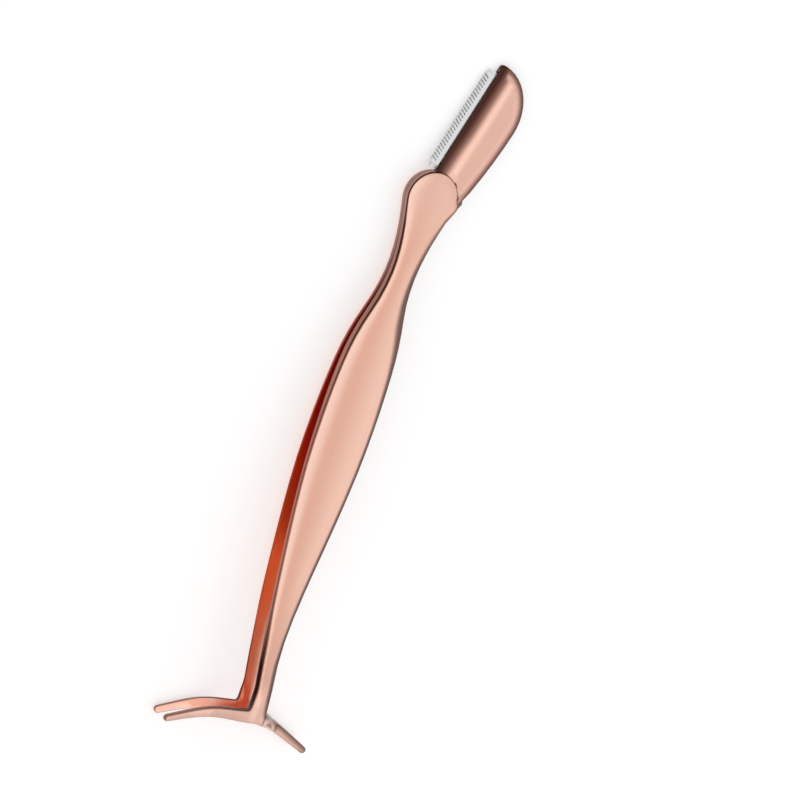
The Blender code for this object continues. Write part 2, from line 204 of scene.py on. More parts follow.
def attribute(start, name, out="Fac"):
    return start.node("ShaderNodeAttribute", {"attribute_name": name}, out=out)


def step(start, value, low, high):
    return start.node(
        "ShaderNodeMapRange",
        {"interpolation_type": "SMOOTHSTEP"},
        {"Value": value, "From Min": low, "From Max": high},
    )


def mix(start, share, first, second, kind="MIX"):
    settings = {"data_type": "RGBA", "blend_type": kind}
    return start.node("ShaderNodeMix", settings, {"Factor": share, "A": first, "B": second}, 2)


def join(wire, shader, socket):
    wire.tree.links.new(wire.socket, shader.inputs[socket])


def polish(start, shader, colour, roughness):
    place = start.node("ShaderNodeTexCoord", out="Object")
    cloud = start.node(
        "ShaderNodeTexNoise", sockets={"Vector": place, "Scale": CLOUD_SCALE, "Detail": 3.0}
    )
    grain = start.node(
        "ShaderNodeTexNoise", sockets={"Vector": place, "Scale": GRAIN_SCALE, "Detail": 2.0}
    )
    tone = mix(start, CLOUD_SHARE * cloud, colour, CLOUD_TINT, "MULTIPLY")
    join(tone, shader, "Base Color")
    join(roughness + CLOUD_ROUGHNESS * cloud, shader, "Roughness")
    heights = {"Strength": GRAIN_STRENGTH, "Distance": GRAIN_HEIGHT, "Height": grain}
    join(start.node("ShaderNodeBump", sockets=heights), shader, "Normal")


# %% [markdown]
# ## What the plating's material reads
# The plating is not one even colour, and much of what varies in it is painted light. It is painted
# paler where the face turns up to the light, painted brown where it rolls over the shaded edge,
# painted mauve on the cut wall and painted deep red between the arms, where light is thrown back and
# forth and takes the copper's red on each turn. A renderer stops counting after a few turns, and a
# small studio misses some of what a large one mirrors. So these tints are worked out from the form
# for each point of the mesh and stored there. They hold painted highlights, shade and reflections as
# well as the metal's own colour, and stay as they are under another lamp. The material reads three
# such values: the tint, how far the mirror gives way to a matt surface, and a painted glow for the
# light that an inner face passes on.

# %% The arms' plating
PLATE_ROUGHNESS = 0.17
MATT_ROUGHNESS = 0.09


def plating(name):
    material, shader, start = new_material(name)
    tint = attribute(start, "tint", "Color")
    bounce_glow = attribute(start, "bounce_glow", "Color")
    matt = attribute(start, "matt")
    roughness = PLATE_ROUGHNESS - (PLATE_ROUGHNESS - MATT_ROUGHNESS) * matt
    polish(start, shader, tint, roughness)
    join(1 - matt, shader, "Metallic")
    # The inner faces' painted glow: emission that stands in for light bounced between the arms.
    join(bounce_glow, shader, "Emission Color")
    shader.inputs["Emission Strength"].default_value = 1.0
    print("plating:", name)
    return material


arm_finish = plating("rose_gold_arms")

# %% [markdown]
# ## How an arm bends in space
# Both arms are cut from flat sheet and then formed. Seen from above they bow a little to one side,
# seen from the side they splay apart and turn in again near the jaws, and the horns of the crescent
# drop away from the neck, as the edge of an eyelid does. These formulas give that form, so a flat
# mesh can be pressed into it as a die would. Two small helpers serve them and the tints below: ease
# smooths a share from 0 to 1, and past says how far a value has come between the two ends of a
# stretch. A stretch is a named pair, of distances from the round end, of gaps to an edge or of
# shares.

# %% The forming of the arms
JAW_AT = 109.9 * MM
NECK_AT = 102.5 * MM
NECK_WIDTH = 3.9 * MM
ARM_BOW = 1.35 * MM
BOW_SHARES = (
    (0.0, 0.0),
    (0.1, 0.22),
    (0.26, 0.87),
    (0.45, 1.0),
    (0.62, 1.0),
    (0.78, 0.82),
    (0.87, 0.24),
    (0.92, -0.42),
    (0.96, -0.85),
    (1.0, -1.05),
)
HINGE_AT = 5.8 * MM
SPLAY_ANGLE = math.radians(1.44)
TURN_IN = 0.7 * MM
TURN_IN_FROM = 85 * MM
JAW_DROP = 6 * MM
JAW_DROP_REACH = 4.7 * MM
JAW_DROP_FLAT = NECK_WIDTH / 5
JAW_BLEND = 4.5 * MM
ARM_THICKNESS = 1.1 * MM
INNER_FACE = 0.45 * MM


def follow(shares, way):
    slopes = [0.0]
    for before, after in zip(shares[:-2], shares[2:]):
        slopes.append((after[1] - before[1]) / (after[0] - before[0]))
    slopes.append(0.0)
    for index in range(len(shares) - 1):
        (low, start), (high, end) = shares[index], shares[index + 1]
        if way <= high or index == len(shares) - 2:
            span = high - low
            part = (way - low) / span
            rise = part * part * (3 - 2 * part)
            leave = part * (1 - part) ** 2 * span * slopes[index]
            arrive = part * part * (part - 1) * span * slopes[index + 1]
            return start + (end - start) * rise + leave + arrive


def middle_line(distance):
    return -ARM_BOW * follow(BOW_SHARES, min(max(distance / JAW_AT, 0.0), 1.0))


def rise(distance):
    late = max(distance - TURN_IN_FROM, 0) / (JAW_AT - TURN_IN_FROM)
    return max(distance - HINGE_AT, 0) * math.tan(SPLAY_ANGLE) - TURN_IN * late * late


def ease(way):
    way = min(max(way, 0.0), 1.0)
    return way * way * (3 - 2 * way)


def past(value, stretch):
    low, high = stretch
    return ease((value - low) / (high - low))


def horn_drop(x, distance):
    from_middle = math.hypot(x - middle_line(JAW_AT), JAW_DROP_FLAT) - JAW_DROP_FLAT
    reach = from_middle / JAW_DROP_REACH
    return JAW_DROP * (1 - math.exp(-reach * reach)) * ease((distance - NECK_AT) / JAW_BLEND)


print("half gap at the jaws", round((INNER_FACE + rise(JAW_AT)) / MM, 2), "mm")

# %% [markdown]
# ## The arms
# An arm could be modelled as a ribbon, but the T where the jaws meet the neck spoils a ribbon's
# neat rows. It could be a solid with a bevel, but a bevel can't crown a face. So the arm starts as
# its own flat outline, taken from the inner face of the CAD solid. Insets follow the edge in narrow
# rings, which hold the rounding, and straight cuts divide what is left into a grid, which holds the
# crown. Then the sheet is extruded to its thickness and every vertex is set to the height that the
# forming gives it.

# %% The flat sheet of an arm
CLOSE_POINTS = 0.13 * MM
FACES_INWARD = 0.35


def flat_outline(node, side):
    mesh = merged_copy(node, tool_frame, ("matt",), ("tint", "bounce_glow"))
    away = [face for face in mesh.faces if face.normal.z * side > -FACES_INWARD]
    bmesh.ops.delete(mesh, geom=away, context="FACES")
    for vert in mesh.verts:
        vert.co.z = 0
    bmesh.ops.dissolve_faces(mesh, faces=mesh.faces, use_verts=False)
    bmesh.ops.remove_doubles(mesh, verts=mesh.verts, dist=CLOSE_POINTS)
    print(node, "outline of", len(mesh.verts), "points in", len(mesh.faces), "face")
    return mesh


# %% [markdown]
# The heights all depend on how far a point is from the edge. A fence of upright faces on the
# outline and a tree of them answer that for any point. The rings come from repeated insets of the
# one face. The grid is closer at the jaws, where the sheet bends most.

# %% A fence for distances, rings along the edge and a grid inside them
RING_DEPTHS = [depth * MM for depth in (0.025, 0.07, 0.14, 0.24, 0.36, 0.48, 0.6)]
GRID_ACROSS = 0.3 * MM
GRID_ALONG = 0.8 * MM
JAW_GRID_ALONG = 0.45 * MM
JAW_GRID_FROM = 97 * MM
JAW_GRID_TO = JAW_AT + 6 * MM
ROWS_BEFORE_CENTRE = 6


def fence(edges):
    posts = bmesh.new()
    for edge in edges:
        ends = [vert.co.copy() for vert in edge.verts]
        low = [posts.verts.new((end.x, end.y, -MM)) for end in ends]
        high = [posts.verts.new((end.x, end.y, MM)) for end in ends[::-1]]
        posts.faces.new(low + high)
    tree = BVHTree.FromBMesh(posts)
    posts.free()
    return tree


def gap_to(tree, vert):
    return tree.find_nearest(Vector((vert.co.x, vert.co.y, 0)))[3]


def inset_rings(mesh, middle, depths, even=True):
    done = 0.0
    for depth in depths:
        bmesh.ops.inset_region(
            mesh, faces=[middle], thickness=depth - done, use_even_offset=even, use_boundary=True
        )
        done = depth


def grid_cuts(mesh, middle, across_step, stations):
    mark = mesh.faces.layers.int["grid"]
    middle[mark] = 1
    low = min(vert.co.x for vert in middle.verts)
    high = max(vert.co.x for vert in middle.verts)
    planes = [((0, place, 0), (0, 1, 0)) for place in stations]
    for index in range(math.ceil(low / across_step), math.ceil(high / across_step)):
        planes.append(((index * across_step, 0, 0), (1, 0, 0)))
    for point, normal in planes:
        cut_sheet(mesh, point, normal, [face for face in mesh.faces if face[mark]])
    for face in mesh.faces:
        face[mark] = 0


def arm_stations():
    last = int(JAW_GRID_FROM / GRID_ALONG)
    stations = [-index * GRID_ALONG for index in range(-ROWS_BEFORE_CENTRE, last)]
    count = int((JAW_GRID_TO - JAW_GRID_FROM) / JAW_GRID_ALONG)
    return stations + [-JAW_GRID_FROM - index * JAW_GRID_ALONG for index in range(count)]


# %% [markdown]
# The outer face is a flat crown, steeper in a shoulder near the edge, and ends in a rounding. That
# form draws the soft light and dark bands along a polished arm. The rounding is fuller at the neck
# and tighter at the round end. The edge of the sheet is also turned in a little below the waist, as
# on a shallow channel, which makes the arm look thicker than it is. At the round end the inner
# faces come down onto the cover's root, so that the stack looks welded and ground flush. The round
# end is also a little fuller on its right, so that its edge runs on into the back of the cover.

# %% The profile of an arm
CROWN_SLOPE = math.tan(math.radians(5))
SHOULDER_SLOPE = math.tan(math.radians(9))
SHOULDER_WIDTH = 1.8 * MM
ROUNDING = 0.56 * MM
NECK_ROUNDING = 0.95 * MM
END_ROUNDING = 0.36 * MM
END_BULGE = 0.62 * MM
INNER_ROUNDING = 0.14 * MM
TURNED_EDGE = 2.4 * MM
WELD_CLOSE = 0.27 * MM
WELD_ENDS = (7 * MM, 19 * MM)
END_ENDS = (2 * MM, 10 * MM)
TURN_STARTS = (8 * MM, 24 * MM)
TURN_ENDS = (32 * MM, 62 * MM)
NECK_STARTS = (84 * MM, 96 * MM)
CROWN_ENDS = (90 * MM, 100 * MM)
JAWS_START = (103 * MM, 107 * MM)
BULGE_SIDE = (2 * MM, 5 * MM)
BULGE_AT = 0.3 * MM
BULGE_BEFORE = 1.3 * MM
BULGE_BEYOND = 3.3 * MM


def rounded(gap, radius):
    short = max(radius - gap, 0.0)
    return radius - math.sqrt(max(radius * radius - short * short, 0.0))


def crowned(x, y, gap):
    from_middle = math.hypot(x - middle_line(-y), max(y, 0.0))
    half = from_middle + gap
    crown = CROWN_SLOPE * half / 3 * (from_middle / half) ** 3
    short = max(SHOULDER_WIDTH - gap, 0.0) / SHOULDER_WIDTH
    shoulder = SHOULDER_SLOPE * SHOULDER_WIDTH * short ** 3 / 3
    return (crown + shoulder) * (1 - past(-y, CROWN_ENDS))


def edge_radius(distance):
    neck = past(distance, NECK_STARTS) * (1 - past(distance, JAWS_START))
    start = END_ROUNDING + (ROUNDING - END_ROUNDING) * past(distance, END_ENDS)
    return start + (NECK_ROUNDING - ROUNDING) * neck


def bulge(x, distance):
    reach = BULGE_BEYOND if distance > BULGE_AT else BULGE_BEFORE
    return END_BULGE * past(x, BULGE_SIDE) * ease(1 - abs(distance - BULGE_AT) / reach)


def turned_in(distance, gap, depth):
    short = max(TURNED_EDGE - gap, 0.0) / TURNED_EDGE
    place = past(distance, TURN_STARTS) * (1 - past(distance, TURN_ENDS))
    return depth * place * short * short


# %% [markdown]
# The tints, with their painted light and shade, are kept as short tables: a distance from the round
# end in millimetres, and the colour or the widths there. Between two lines of a table the values are
# blended. SHADE_REACH says how far from the edge the painted brown shade is full and where it ends.
# ROLL_STEPS gives two steps in the left rounding, from the face into the painted dark and from the
# dark into the mauve of the wall, which is a painted reflection.

# %% Tables of tints along an arm
# The face's colour, with painted light in it: a little lighter at the round end, darker at the neck and much
# lighter on the jaws.
FACE_TINT = (
    (0, (0.82, 0.49, 0.39)),
    (12, (0.79, 0.44, 0.335)),
    (90, (0.78, 0.44, 0.335)),
    (101, (0.75, 0.43, 0.34)),
    (106, (0.97, 0.61, 0.5)),
)
# Painted light: LIT_PINK is a painted highlight along the left of the face, PALE_PINK a painted sheen over
# its right half, DIM_PINK dims that sheen near the right edge as painted shade, and LOWER_EDGE is a light
# painted reflection on the lower edges of the horns. RIM_TINT is painted shade along the rim of an inner
# face.
LIT_PINK = Vector((0.8, 0.52, 0.43))
PALE_PINK = Vector((0.93, 0.6, 0.48))
DIM_PINK = Vector((0.8, 0.48, 0.39))
LOWER_EDGE = Vector((0.55, 0.37, 0.34))
RIM_TINT = Vector((0.28, 0.07, 0.045))
SHADE_WAY = Vector((0.9, 0.43))
CUT_WAY = Vector((-1.0, 0.35))

# Painted shade along the right edges and the upper edge of the right horn.
SHADE_TINT = (
    (0, (0.38, 0.18, 0.13)),
    (8, (0.3, 0.14, 0.1)),
    (16, (0.2, 0.09, 0.07)),
    (89, (0.2, 0.085, 0.065)),
    (106, (0.2, 0.09, 0.07)),
    (111, (0.3, 0.155, 0.12)),
)
SHADE_REACH = (
    (-3, (0.05, 0.35)),
    (0, (0.3, 0.8)),
    (7, (0.55, 1.2)),
    (16, (0.85, 1.45)),
    (26, (0.9, 2.3)),
    (36, (0.7, 1.5)),
    (47, (0.6, 1.2)),
    (89, (0.6, 1.2)),
    (98, (0.9, 1.4)),
    (104, (0.9, 1.4)),
    (110, (0.2, 1.6)),
)
# Painted shade: the dark line in the left rounding, where a polished rounding mirrors something dark.
ROLLED_EDGE = (
    (16, (0.08, 0.022, 0.012)),
    (36, (0.14, 0.06, 0.03)),
    (47, (0.24, 0.1, 0.07)),
    (68, (0.29, 0.11, 0.08)),
    (89, (0.26, 0.1, 0.08)),
    (98, (0.04, 0.01, 0.005)),
    (106, (0.045, 0.012, 0.006)),
    (111, (0.36, 0.17, 0.12)),
)
ROLL_STEPS = (
    (30, (0.02, 0.25, 0.74, 0.95)),
    (40, (0.05, 0.3, 0.6, 0.85)),
    (56, (0.1, 0.32, 0.42, 0.65)),
    (85, (0.05, 0.3, 0.5, 0.75)),
    (97, (0.1, 0.55, 0.9, 1.0)),
    (108, (0.1, 0.6, 0.9, 1.0)),
)
# Painted reflection: the cut wall's mauve, as dark as what the wall mirrors.
CUT_WALL = (
    (0, (0.35, 0.2, 0.17)),
    (26, (0.34, 0.16, 0.125)),
    (36, (0.44, 0.2, 0.16)),
    (47, (0.39, 0.15, 0.115)),
    (68, (0.5, 0.17, 0.12)),
    (80, (0.54, 0.195, 0.14)),
    (89, (0.35, 0.16, 0.12)),
    (97, (0.06, 0.02, 0.013)),
    (106, (0.05, 0.016, 0.01)),
    (111, (0.3, 0.13, 0.12)),
)
# Painted reflection and shade: the inner faces' deep red, for light thrown back and forth between the arms,
# mauve and darker near the round end, where little light gets in.
INNER_TINT = (
    (8, (0.5, 0.3, 0.26)),
    (16, (0.35, 0.16, 0.13)),
    (21, (0.3, 0.03, 0.02)),
    (26, (0.55, 0.012, 0.005)),
    (47, (0.68, 0.02, 0.006)),
    (55, (0.76, 0.04, 0.011)),
    (68, (0.8, 0.14, 0.034)),
    (78, (0.86, 0.35, 0.13)),
    (92, (0.68, 0.235, 0.125)),
    (108, (0.78, 0.22, 0.13)),
)
# Painted glow: emission on the inner faces, for the light that they pass on to each other.
INNER_BOUNCE_GLOW = (
    (10, (0.12, 0.07, 0.06)),
    (17, (0.1, 0.04, 0.035)),
    (23, (0, 0, 0)),
    (70, (0, 0, 0)),
    (77, (0.08, 0, 0)),
    (89, (0.1, 0, 0)),
    (98, (0.02, 0, 0)),
    (106, (0.06, 0.005, 0)),
    (112, (0, 0, 0)),
)
HORN_BOUNCE_GLOW = Vector((0.18, 0.1, 0.07))
SHADE_MATT = 0.7
JAW_MATT = 0.6
INNER_MATT = (
    (14, (0.0,)),
    (24, (0.7,)),
    (54, (0.65,)),
    (72, (0.5,)),
    (90, (0.4,)),
    (108, (0.5,)),
)


def at(table, distance):
    place = distance / MM
    if place <= table[0][0]:
        return Vector((*table[0][1], 0))
    for (low, first), (high, second) in zip(table, table[1:]):
        if place <= high:
            share = (place - low) / (high - low)
            return Vector((*first, 0)).lerp(Vector((*second, 0)), share)
    return Vector((*table[-1][1], 0))


# %% [markdown]
# Each point of the outer face knows how far it lies across the arm, from -1 at the left edge to 1
# at the right one, how near the edge is and which way that edge looks. The face gets a painted
# highlight along its left side and a painted sheen on its right half. The left edge shows its cut
# wall in a painted reflection. The right one and the upper edge of the right horn get painted shade,
# and the lower edges of the horns a light painted reflection.

# %% The tint of a point
LEFT_BAND = (-0.7, -0.48)
LEFT_BAND_ENDS = (103 * MM, 108 * MM)
PALE_SIDE = (-0.45, 0.75)
PALE_STARTS = (8 * MM, 16 * MM)
PALE_ENDS = (78 * MM, 96 * MM)
PALE_FIRST_SHARE = 0.6
LOOKS_RIGHT = (0, 0.4)
DIM_SHARE = 0.6
DIM_GAP = (0.8 * MM, 2.4 * MM)
LOOKS_DOWN = (0.3, 0.7)
HORNS_START = (104 * MM, 108 * MM)
LOWER_GAP = (0, 0.4 * MM)
LOOKS_LEFT = (0.05, 0.45)
RED_RIM_STARTS = (14 * MM, 22 * MM)
RED_RIM_ENDS = (84 * MM, 92 * MM)
RIM_GAP = (0.06 * MM, 0.2 * MM)


def outer_tint(distance, gap, out, across_share, radius, shade):
    tint = at(FACE_TINT, distance).xyz
    left = (1 - past(across_share, LEFT_BAND)) * (1 - past(distance, LEFT_BAND_ENDS))
    tint = tint.lerp(LIT_PINK, left)
    pale = PALE_FIRST_SHARE + (1 - PALE_FIRST_SHARE) * past(distance, PALE_STARTS)
    right = past(across_share, PALE_SIDE) * (1 - past(distance, PALE_ENDS))
    tint = tint.lerp(PALE_PINK, right * pale)
    dim = DIM_SHARE * past(out.x, LOOKS_RIGHT) * (1 - past(gap, DIM_GAP))
    tint = tint.lerp(DIM_PINK, dim)
    tint = tint.lerp(at(SHADE_TINT, distance).xyz, shade)
    below = past(-out.y, LOOKS_DOWN) * past(distance, HORNS_START)
    tint = tint.lerp(LOWER_EDGE, below * (1 - past(gap, LOWER_GAP)))
    cut = past(out.dot(CUT_WAY), LOOKS_LEFT)
    edge = 1 - gap / radius
    dark_from, dark_to, wall_from, wall_to = at(ROLL_STEPS, distance)[:4]
    dark = cut * past(edge, (dark_from, dark_to))
    tint = tint.lerp(at(ROLLED_EDGE, distance).xyz, dark)
    wall = cut * past(edge, (wall_from, wall_to))
    return tint.lerp(at(CUT_WALL, distance).xyz, wall)


def inner_tint(distance, gap, light):
    tint = at(INNER_TINT, distance).xyz.lerp(at(FACE_TINT, distance).xyz, light)
    red_rim = past(distance, RED_RIM_STARTS) * (1 - past(distance, RED_RIM_ENDS))
    rim = at(CUT_WALL, distance).xyz.lerp(RIM_TINT, red_rim)
    return rim.lerp(tint, past(gap, RIM_GAP))


# %% [markdown]
# At the neck the right half of the inner face mirrors the pale paper past the other arm, and so do
# the horns away from the neck, so there the inner face keeps the plating's own pink in place of the
# painted red. The shade has a fence of its own, of only the edges that look to the shaded side. With
# one fence for all edges the painted shade would stop in a hard line halfway across a horn.

# %% Pressing the sheet into an arm
NECK_OPEN_SIDE = (-0.1 * MM, 0.6 * MM)
NECK_OPENS = (84 * MM, 94 * MM)
HORN_OPEN_SIDE = (3.4 * MM, 7.4 * MM)
HORN_OPENS = (100 * MM, 108 * MM)
NECK_MIRROR_SHARE = 0.8
EDGE_SHADED = (0.1, 0.3)
POINT_SHADED = (0.1, 0.7)
BOUNCE_GLOW_GAP = (0, 0.16 * MM)
PLATE_SHARP_ANGLE = math.radians(60)
BEND_FROM = 4.6 * MM
BEND_TO = 34 * MM


def open_to_light(x, distance):
    side = x - middle_line(distance)
    neck = past(side, NECK_OPEN_SIDE) * past(distance, NECK_OPENS)
    horn = past(abs(side), HORN_OPEN_SIDE) * past(distance, HORN_OPENS)
    return neck, horn


def outward(tree, vert):
    near = tree.find_nearest(Vector((vert.co.x, vert.co.y, 0)))[0]
    way = (near - vert.co).xy
    if way.length > MERGE_DISTANCE / 2:
        return way.normalized()
    inner = max((edge.other_vert(vert) for edge in vert.link_edges), key=lambda v: gap_to(tree, v))
    return (vert.co - inner.co).xy.normalized()


def shaded_fence(mesh):
    mesh.normal_update()
    edges = []
    facing = []
    for edge in mesh.edges:
        loop = edge.link_loops[0]
        run = (loop.link_loop_next.vert.co - loop.vert.co).normalized()
        turned = run.cross(loop.face.normal).xy.dot(SHADE_WAY)
        if turned > EDGE_SHADED[0]:
            edges.append(edge)
            facing.append(past(turned, EDGE_SHADED))
    return fence(edges), facing


def shade_of(tree, facing, x, distance, way):
    place = Vector((x, -distance, 0))
    near, _, index, gap = tree.find_nearest(place)
    out = (near - place).xy.normalized() if gap > MERGE_DISTANCE / 2 else way
    full, end = at(SHADE_REACH, distance)[:2]
    turned = past(out.dot(SHADE_WAY), POINT_SHADED)
    return (1 - past(gap / MM, (full, end))) * facing[index] * turned


def flat_place(vert):
    return round(vert.co.x, 7), round(vert.co.y, 7)


def make_arm(node, name, side, body, lip):
    mesh = flat_outline(node, side)
    tree = fence(mesh.edges)
    shaded, facing = shaded_fence(mesh)
    middle = mesh.faces[:][0]
    inset_rings(mesh, middle, RING_DEPTHS)
    grid_cuts(mesh, middle, GRID_ACROSS, arm_stations())
    matt = mesh.verts.layers.float["matt"]
    tint = mesh.verts.layers.float_color["tint"]
    bounce_glow = mesh.verts.layers.float_color["bounce_glow"]
    ways = {flat_place(vert): outward(tree, vert) for vert in mesh.verts}
    made = bmesh.ops.extrude_face_region(mesh, geom=list(mesh.faces))
    outer = {item for item in made["geom"] if isinstance(item, bmesh.types.BMVert)}
    for vert in mesh.verts:
        x, y, _ = vert.co
        distance = -y
        gap = gap_to(tree, vert)
        if vert in outer:
            radius = edge_radius(distance)
            height = ARM_THICKNESS - rounded(gap, radius) - crowned(x, y, gap)
            from_middle = x - middle_line(distance)
            share = from_middle / (abs(from_middle) + gap + MERGE_DISTANCE)
            way = ways[flat_place(vert)]
            shade = shade_of(shaded, facing, x, distance, way)
            # The outer face's tint carries its painted highlights, shade and reflections.
            vert[tint] = (*outer_tint(distance, gap, way, share, radius, shade), 1)
            vert[matt] = max(SHADE_MATT * shade, JAW_MATT * past(distance, JAWS_START))
            vert[bounce_glow] = (0, 0, 0, 1)
        else:
            height = rounded(gap, INNER_ROUNDING) - turned_in(distance, gap, lip)
            height -= WELD_CLOSE * (1 - past(distance, WELD_ENDS))
            neck, horn = open_to_light(x, distance)
            light = max(neck, horn)
            reached = past(gap, BOUNCE_GLOW_GAP)
            # The inner face's tint carries painted reflection and shade, and its glow is a painted glow.
            passed_on = at(INNER_BOUNCE_GLOW, distance).xyz * (1 - light) + HORN_BOUNCE_GLOW * horn
            vert[tint] = (*inner_tint(distance, gap, light), 1)
            vert[bounce_glow] = (*(passed_on * reached), 1)
            kept = 1 - NECK_MIRROR_SHARE * neck
            vert[matt] = at(INNER_MATT, distance)[0] * reached * kept
        vert.co.z = side * (INNER_FACE + rise(distance) + height) - horn_drop(x, distance)
        vert.co.x += bulge(x, distance)
    bmesh.ops.recalc_face_normals(mesh, faces=mesh.faces)
    piece = put_in_place(mesh, name, tool_frame, arm_finish, PLATE_SHARP_ANGLE)
    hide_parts(node)
    start = tool_frame @ Vector((0, -BEND_FROM, 0))
    end = tool_frame @ Vector((0, -BEND_TO, 0))
    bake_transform(piece, "head", body, start=start, end=end)


make_arm("front_arm", "front_arm_plate", 1, "front_arm", lip=0.75 * MM)
make_arm("rear_arm", "rear_arm_plate", -1, "rear_arm", lip=0.3 * MM)

# %% [markdown]
# ## The razor's cover
# The cover is one piece of sheet folded round the blade. Along the blade its edge is rolled
# inwards, and that roll shows as a dark band, almost black at the very edge: painted shade in the
# cover's tint, with a painted highlight where the face rises out of it. Along its back it is rounded,
# with painted shade on the rounding and a painted highlight inside it. The CAD solid already has the
# outline, the slot and the root. A merged copy of it keeps these. Its two flat faces are joined up,
# given rings and a grid as the arms were, and pressed into a crown. Its foot and the seam round the
# arms are drawn in a little, under the round ends.

# %% The cover's faces
COVER_EDGE = -2.42 * MM
COVER_HALF = 0.75 * MM
COVER_BEVEL = 0.45 * MM
CAD_ROLL_WIDTH = 1.4 * MM
CAD_ROLL_DROP = 0.2 * MM
SEAM_RADIUS = 5.95 * MM
SEAM_DRAWN_IN = 5.56 * MM
FOOT_DRAWN_IN = 0.34 * MM
CROWN_FROM_EDGE = 3.6 * MM
CROWN_REACH = 3 * MM
ROLL_FROM = 4.6 * MM
ROLL_SLOPE = 0.06
FLATTER_FROM = 3.3 * MM
FLATTER_SLOPE = 0.03
COVER_GRID_ACROSS = 0.4 * MM
COVER_STATIONS = [index * MM for index in range(1, 30)]
COVER_RINGS = [depth * MM for depth in (0.1, 0.25, 0.45, 0.7, 1.0)]

NARROW_BY = 0.3 * MM
NARROW_ENDS = (8 * MM, 16 * MM)
BACK_ENDS = (1.7 * MM, 2.7 * MM)
BLADE_BAND_ENDS = (1.6 * MM, 2.6 * MM)
# Painted shade and highlights: COVER_SIDE is painted shade on the side by the blade, FROM_BLADE_TINT the
# painted dark band of the roll with a painted highlight beyond it, and FROM_BACK_TINT painted shade on the
# rounded back with a painted highlight inside it.
COVER_SIDE = Vector((0.075, 0.038, 0.031))
FROM_BLADE_TINT = (
    (0.0, (0.045, 0.022, 0.02)),
    (1.05, (0.075, 0.027, 0.018)),
    (1.7, (0.16, 0.07, 0.054)),
    (2.4, (0.3, 0.16, 0.13)),
    (2.85, (0.54, 0.32, 0.245)),
    (3.4, (0.86, 0.53, 0.43)),
    (4.0, (0.91, 0.575, 0.46)),
    (5.2, (0.81, 0.5, 0.395)),
    (7.5, (0.815, 0.5, 0.4)),
)
FROM_BACK_TINT = (
    (0.75, (0.2, 0.1, 0.08)),
    (1.15, (0.45, 0.24, 0.2)),
    (1.55, (0.74, 0.45, 0.38)),
    (2.1, (0.93, 0.58, 0.48)),
)


def cover_tint(from_blade, from_back, y):
    narrower_at_root = NARROW_BY * (1 - past(y, NARROW_ENDS))
    tint = at(FROM_BLADE_TINT, from_blade + narrower_at_root).xyz
    back = at(FROM_BACK_TINT, from_back).xyz
    share = (1 - past(from_back, BACK_ENDS)) * past(from_blade, BLADE_BAND_ENDS)
    return tint.lerp(back, share)


# %% [markdown]
# The faces of a copied CAD solid are triangles of every shape, so those of one broad side are
# dissolved into a single face first. The fence for distances leaves out the blade's side and the
# arc round the arms' end, because only the back is rounded.

# %% Pressing the cover
ALONG_BLADE = 0.02
ROLLED_LEVEL = 0.9
FLAT_LEVEL = 0.985
TOUCHING = 0.02 * MM
AT_BLADE = 0.6 * MM
SLOT_HALF = 0.3 * MM
FOOT_TOP = (0.8 * MM, 2.4 * MM)
FOOT_SIDE = (4.4 * MM, 5.2 * MM)


def broad_face(mesh, side):
    flat = []
    for face in mesh.faces:
        middle = face.calc_center_median()
        rolled = middle.x < COVER_EDGE + CAD_ROLL_WIDTH and abs(face.normal.y) < ALONG_BLADE
        level = face.normal.z * side > (ROLLED_LEVEL if rolled else FLAT_LEVEL)
        if level and middle.z * side > 0.5 * MM:
            flat.append(face)
    joined = bmesh.ops.dissolve_faces(mesh, faces=flat, use_verts=False)["region"]
    return max(joined, key=lambda face: face.calc_area())


def is_back(edge):
    at_blade = all(vert.co.x < COVER_EDGE + 0.05 * MM for vert in edge.verts)
    at_seam = all(vert.co.xy.length < SEAM_RADIUS + 0.3 * MM for vert in edge.verts)
    return not at_blade and not at_seam


def face_drop(x, gap):
    from_blade = x - COVER_EDGE
    roll = ROLL_SLOPE * min(max(ROLL_FROM - from_blade, 0.0), ROLL_FROM - FLATTER_FROM)
    roll += FLATTER_SLOPE * max(FLATTER_FROM - from_blade, 0.0)
    crown = CROWN_SLOPE * CROWN_REACH / 3 * (max(CROWN_FROM_EDGE - gap, 0.0) / CROWN_REACH) ** 3
    return roll + crown


